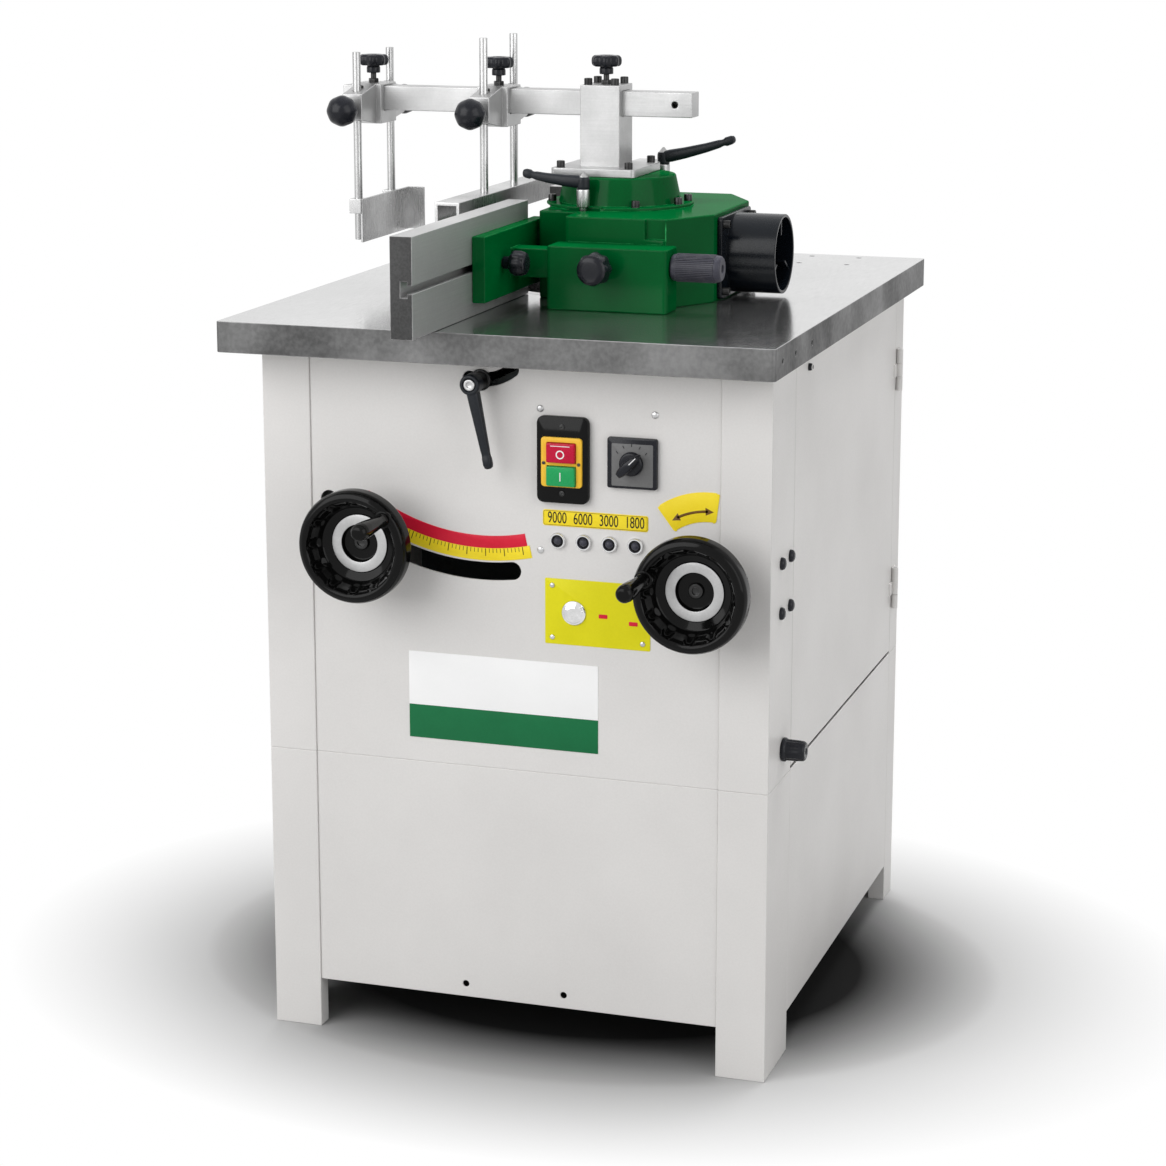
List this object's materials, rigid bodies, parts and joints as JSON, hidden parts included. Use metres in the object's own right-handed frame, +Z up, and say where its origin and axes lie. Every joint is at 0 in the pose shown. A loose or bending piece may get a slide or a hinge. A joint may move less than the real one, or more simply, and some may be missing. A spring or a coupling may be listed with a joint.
{
  "type": "spindle moulder",
  "caption": "Floor-standing spindle moulder: cast table on a sheet-steel cabinet, tilting and rising spindle, fence hood with sliding plates, dust port and pressure bar.",
  "frame": {"origin": "on the floor, under the middle of the machine's footprint", "axes": "+Z up, +X to the operator's right, +Y away from the operator, who stands at the control panel"},
  "size_m": [0.6726, 0.96, 1.172],
  "materials": {
    "table_iron": "ground",
    "grey_paint": "semi-gloss",
    "green_paint": "gloss",
    "dark_iron": "as cast",
    "bright_steel": "ground",
    "silver_bar": "satin",
    "fence_metal": "satin",
    "motor_paint": "satin",
    "black_grip": "gloss",
    "black_matte": "matte",
    "black_steel": "black oxide",
    "knob_grey": "knurled",
    "belt_rubber": "matte",
    "label_yellow": "printed",
    "stop_red": "gloss",
    "start_green": "gloss",
    "lamp_chrome": "polished"
  },
  "bodies": {
    "base": {"table_top": "table_iron", "table_ring": "bright_steel", "lower_stand": "grey_paint", "cabinet_shell": "grey_paint", "control_panel": "grey_paint", "cabinet_hardware": "black_steel", "hinge_leaves": "grey_paint", "switch_housings": "black_matte", "indicator_lamps": "lamp_chrome", "label_plates": "label_yellow", "trunnion_brackets": "dark_iron", "tilt_gear_bracket": "dark_iron"},
    "door": {"side_door": "grey_paint"},
    "latch": {"latch_knob": "black_grip"},
    "cradle": {"tilt_cradle": "dark_iron", "tilt_sector": "bright_steel"},
    "lock_lever": {"tilt_lock_lever": "black_steel"},
    "tilt_wheel": {"tilt_handwheel": "black_grip"},
    "tilt_grip": {"tilt_handle": "black_grip"},
    "countershaft": {"tilt_countershaft": "bright_steel"},
    "height_wheel": {"height_handwheel": "black_grip"},
    "height_grip": {"height_handle": "black_grip"},
    "screw": {"lift_screw": "bright_steel"},
    "slide": {"spindle_slide": "dark_iron", "quill_housing": "bright_steel", "motor_housing": "motor_paint", "drive_belt": "belt_rubber"},
    "spindle": {"spindle_shaft": "bright_steel", "spindle_pulley": "silver_bar", "spindle_collars": "bright_steel"},
    "motor_rotor": {"motor_pulley": "silver_bar"},
    "stop": {"stop_button": "stop_red"},
    "start": {"start_button": "start_green"},
    "rotary": {"rotary_knob": "black_grip"},
    "hood": {"hood_casting": "green_paint", "hood_screws": "black_steel", "dust_port": "black_matte", "press_post": "silver_bar"},
    "front_clamp": {"clamp_lever_front": "black_steel"},
    "rear_clamp": {"clamp_lever_rear": "black_steel"},
    "near_bracket": {"near_fence_bracket": "green_paint"},
    "fine_knob": {"fine_adjust_knob": "knob_grey"},
    "bracket_knob": {"bracket_lock_knob": "black_grip"},
    "near_plate": {"near_fence_plate": "fence_metal"},
    "near_knob": {"near_fence_knob": "black_grip"},
    "far_plate": {"far_fence_plate": "fence_metal"},
    "far_knob": {"far_fence_knob": "black_grip"},
    "bar": {"pressure_bar": "silver_bar"},
    "bar_star": {"bar_knob": "black_grip"},
    "inner_carriage": {"inner_carrier": "silver_bar"},
    "inner_star": {"inner_carrier_knob": "black_grip"},
    "inner_near_ball": {"inner_front_ball_knob": "black_grip"},
    "inner_far_ball": {"inner_rear_ball_knob": "black_grip"},
    "inner_shoe": {"inner_pressure_shoe": "silver_bar"},
    "outer_carriage": {"outer_carrier": "silver_bar"},
    "outer_star": {"outer_carrier_knob": "black_grip"},
    "outer_near_ball": {"outer_front_ball_knob": "black_grip"},
    "outer_far_ball": {"outer_rear_ball_knob": "black_grip"},
    "outer_shoe": {"outer_pressure_shoe": "silver_bar"}
  },
  "joints": [
    {"name": "side_door", "type": "hinge", "parent": "base", "child": "door", "pos_m": [0.31275, 0.318, 0.7305], "axis": [0, 0, 1], "range_deg": [0, 110]},
    {"name": "door_latch", "type": "hinge", "parent": "base", "child": "latch", "pos_m": [0.30825, -0.269, 0.383], "axis": [-1, 0, 0], "range_deg": [0, 90]},
    {"name": "spindle_tilt", "type": "hinge", "parent": "base", "child": "cradle", "pos_m": [-0.03425, 0.013, 0.866], "axis": [0, -1, 0], "range_deg": [-10, 35]},
    {"name": "tilt_lock", "type": "hinge", "parent": "cradle", "child": "lock_lever", "pos_m": [-0.03425, -0.3305, 0.805], "axis": [0, -1, 0], "range_deg": [-90, 30]},
    {"name": "tilt_wheel", "type": "hinge", "parent": "base", "child": "tilt_wheel", "pos_m": [0.23225, -0.3305, 0.588], "axis": [0, -1, 0], "range_deg": [-502, 1752]},
    {"name": "tilt_countershaft", "type": "hinge", "parent": "base", "child": "countershaft", "pos_m": [0.13738, -0.287, 0.59296], "axis": [0, -1, 0], "range_deg": [-468.67, 135.33]},
    {"name": "tilt_grip_spin", "type": "hinge", "parent": "tilt_wheel", "child": "tilt_grip", "pos_m": [0.18089, -0.48, 0.60469], "axis": [0, -1, 0], "continuous": true},
    {"name": "spindle_lift", "type": "slide", "parent": "cradle", "child": "slide", "axis": [0, 0, 1], "range_m": [-0.08, 0.01]},
    {"name": "height_wheel", "type": "hinge", "parent": "cradle", "child": "height_wheel", "pos_m": [-0.16714, -0.3305, 0.61501], "axis": [0, -1, 0], "range_deg": [-725, 5765]},
    {"name": "lift_screw", "type": "hinge", "parent": "cradle", "child": "screw", "pos_m": [-0.16714, -0.017, 0.61501], "axis": [0, 0, 1], "range_deg": [-725, 5765]},
    {"name": "height_grip_spin", "type": "hinge", "parent": "height_wheel", "child": "height_grip", "pos_m": [-0.12701, -0.48, 0.65114], "axis": [0, -1, 0], "continuous": true},
    {"name": "spindle_spin", "type": "hinge", "parent": "slide", "child": "spindle", "pos_m": [-0.03425, 0.013, 0.866], "axis": [0, 0, 1], "continuous": true},
    {"name": "motor_spin", "type": "hinge", "parent": "slide", "child": "motor_rotor", "pos_m": [-0.03425, 0.213, 0.57], "axis": [0, 0, 1], "continuous": true},
    {"name": "stop_press", "type": "slide", "parent": "base", "child": "stop", "axis": [0, 1, 0], "range_m": [0, 0.004], "stiffness_N_per_m": 600},
    {"name": "start_press", "type": "slide", "parent": "base", "child": "start", "axis": [0, 1, 0], "range_m": [0, 0.004], "stiffness_N_per_m": 600},
    {"name": "rotary_turn", "type": "hinge", "parent": "base", "child": "rotary", "pos_m": [0.14675, -0.3305, 0.72], "axis": [0, -1, 0], "range_deg": [-45, 45]},
    {"name": "hood_slide", "type": "slide", "parent": "base", "child": "hood", "axis": [1, 0, 0], "range_m": [-0.02, 0.02]},
    {"name": "front_clamp", "type": "hinge", "parent": "base", "child": "front_clamp", "pos_m": [0.00375, -0.072, 0.971], "axis": [0, 0, 1], "range_deg": [0, 90]},
    {"name": "rear_clamp", "type": "hinge", "parent": "base", "child": "rear_clamp", "pos_m": [0.05375, 0.098, 0.971], "axis": [0, 0, 1], "range_deg": [0, 90]},
    {"name": "near_adjust", "type": "slide", "parent": "hood", "child": "near_bracket", "axis": [1, 0, 0], "range_m": [-0.015, 0.005]},
    {"name": "fine_adjust", "type": "hinge", "parent": "hood", "child": "fine_knob", "pos_m": [0.14075, -0.1595, 0.919], "axis": [1, 0, 0], "range_deg": [-1205, 3605]},
    {"name": "bracket_lock", "type": "hinge", "parent": "hood", "child": "bracket_knob", "pos_m": [0.06075, -0.182, 0.919], "axis": [0, -1, 0], "range_deg": [0, 270]},
    {"name": "near_plate_slide", "type": "slide", "parent": "near_bracket", "child": "near_plate", "axis": [0, 1, 0], "range_m": [-0.06, 0.045]},
    {"name": "far_plate_slide", "type": "slide", "parent": "hood", "child": "far_plate", "axis": [0, 1, 0], "range_m": [-0.045, 0.06]},
    {"name": "near_plate_knob", "type": "hinge", "parent": "near_bracket", "child": "near_knob", "pos_m": [-0.05225, -0.204, 0.922], "axis": [1, 0, 0], "range_deg": [0, 270]},
    {"name": "far_plate_knob", "type": "hinge", "parent": "hood", "child": "far_knob", "pos_m": [-0.05225, 0.23, 0.922], "axis": [1, 0, 0], "range_deg": [0, 270]},
    {"name": "bar_slide", "type": "slide", "parent": "hood", "child": "bar", "axis": [1, 0, 0], "range_m": [-0.06, 0.01]},
    {"name": "bar_knob_turn", "type": "hinge", "parent": "hood", "child": "bar_star", "pos_m": [0.00575, 0.013, 1.116], "axis": [0, 0, 1], "range_deg": [0, 270]},
    {"name": "inner_carriage_slide", "type": "slide", "parent": "bar", "child": "inner_carriage", "axis": [1, 0, 0], "range_m": [-0.05, 0.01]},
    {"name": "inner_star_turn", "type": "hinge", "parent": "inner_carriage", "child": "inner_star", "pos_m": [-0.13325, 0.013, 1.1115], "axis": [0, 0, 1], "range_deg": [0, 270]},
    {"name": "inner_near_ball_turn", "type": "hinge", "parent": "inner_carriage", "child": "inner_near_ball", "pos_m": [-0.13325, -0.059, 1.0835], "axis": [0, -1, 0], "range_deg": [0, 270]},
    {"name": "inner_far_ball_turn", "type": "hinge", "parent": "inner_carriage", "child": "inner_far_ball", "pos_m": [-0.13325, 0.085, 1.0835], "axis": [0, 1, 0], "range_deg": [0, 270]},
    {"name": "inner_shoe_slide", "type": "slide", "parent": "inner_carriage", "child": "inner_shoe", "axis": [0, 0, 1], "range_m": [-0.06, 0.06]},
    {"name": "outer_carriage_slide", "type": "slide", "parent": "bar", "child": "outer_carriage", "axis": [1, 0, 0], "range_m": [-0.012, 0.05]},
    {"name": "outer_star_turn", "type": "hinge", "parent": "outer_carriage", "child": "outer_star", "pos_m": [-0.29925, 0.013, 1.1115], "axis": [0, 0, 1], "range_deg": [0, 270]},
    {"name": "outer_near_ball_turn", "type": "hinge", "parent": "outer_carriage", "child": "outer_near_ball", "pos_m": [-0.29925, -0.059, 1.0835], "axis": [0, -1, 0], "range_deg": [0, 270]},
    {"name": "outer_far_ball_turn", "type": "hinge", "parent": "outer_carriage", "child": "outer_far_ball", "pos_m": [-0.29925, 0.085, 1.0835], "axis": [0, 1, 0], "range_deg": [0, 270]},
    {"name": "outer_shoe_slide", "type": "slide", "parent": "outer_carriage", "child": "outer_shoe", "axis": [0, 0, 1], "range_m": [-0.04, 0.07]}
  ],
  "couplings": [
    {"joint": "tilt_wheel", "follows": "spindle_tilt", "ratio": 50},
    {"joint": "tilt_countershaft", "follows": "spindle_tilt", "ratio": -13.333},
    {"joint": "height_wheel", "follows": "spindle_lift", "rad_per_m": -1256.6},
    {"joint": "lift_screw", "follows": "spindle_lift", "rad_per_m": -1256.6},
    {"joint": "motor_spin", "follows": "spindle_spin", "ratio": 0.47333},
    {"joint": "fine_adjust", "follows": "near_adjust", "rad_per_m": -4188.8}
  ]
}
